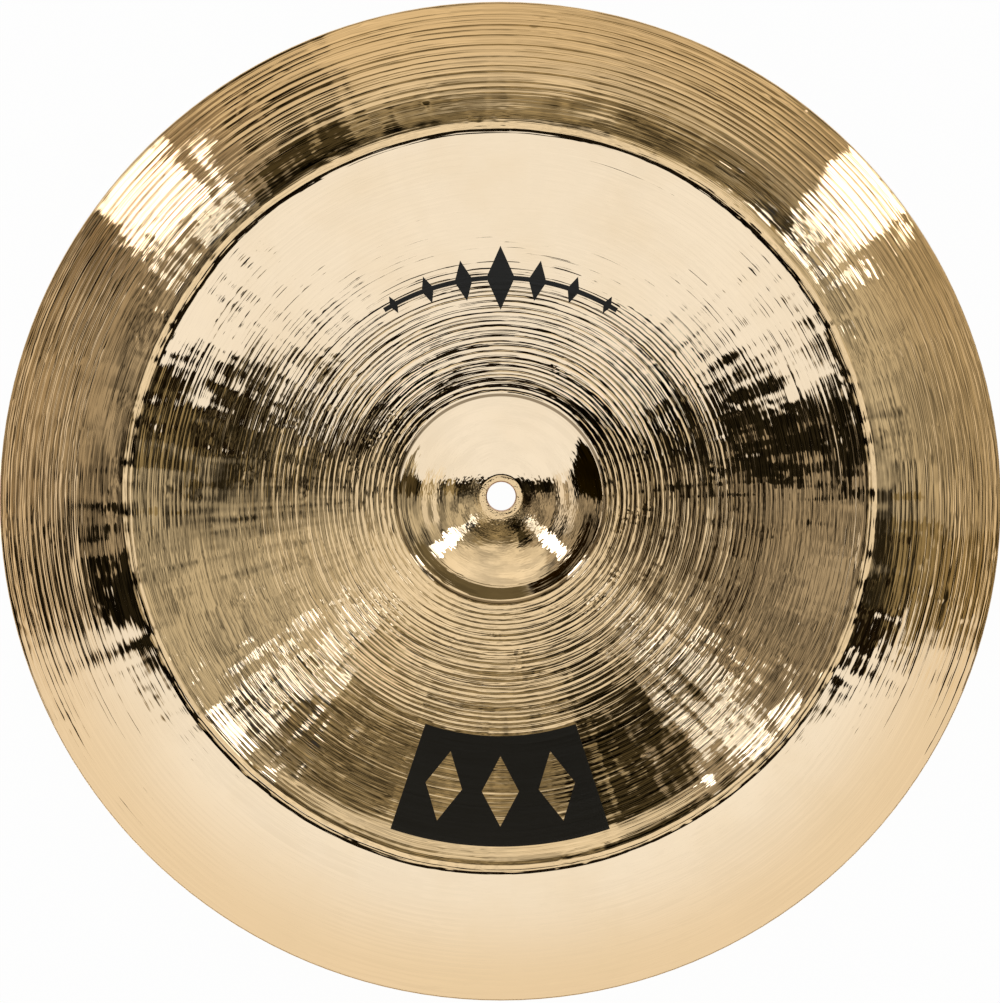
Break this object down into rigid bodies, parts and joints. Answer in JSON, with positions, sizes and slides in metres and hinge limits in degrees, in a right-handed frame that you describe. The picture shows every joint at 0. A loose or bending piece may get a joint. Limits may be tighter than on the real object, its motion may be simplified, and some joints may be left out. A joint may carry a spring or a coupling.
{
  "type": "china cymbal",
  "caption": "Hammered and turned bronze china cymbal with a raised bell, a falling bow, a crease, an upturned flange and a centre hole, with plain ornamental ink prints.",
  "frame": {"origin": "on the cymbal's axis, in the plane of the crease's flat underside, on which it rests bell up", "axes": "+Z along the axis from the underside to the bell; +Y from the axis towards the upper print; +X to the right of it, seen from above"},
  "size_m": [0.4572, 0.4572, 0.0426],
  "materials": {
    "bell_bronze": "brilliant polished bell bronze, lathe grooves and hammer marks",
    "print_ink": "thin black screen-printed ink"
  },
  "bodies": {
    "root": {"cymbal_disc": "bell_bronze", "upper_print": "print_ink", "lower_print": "print_ink"}
  },
  "joints": []
}
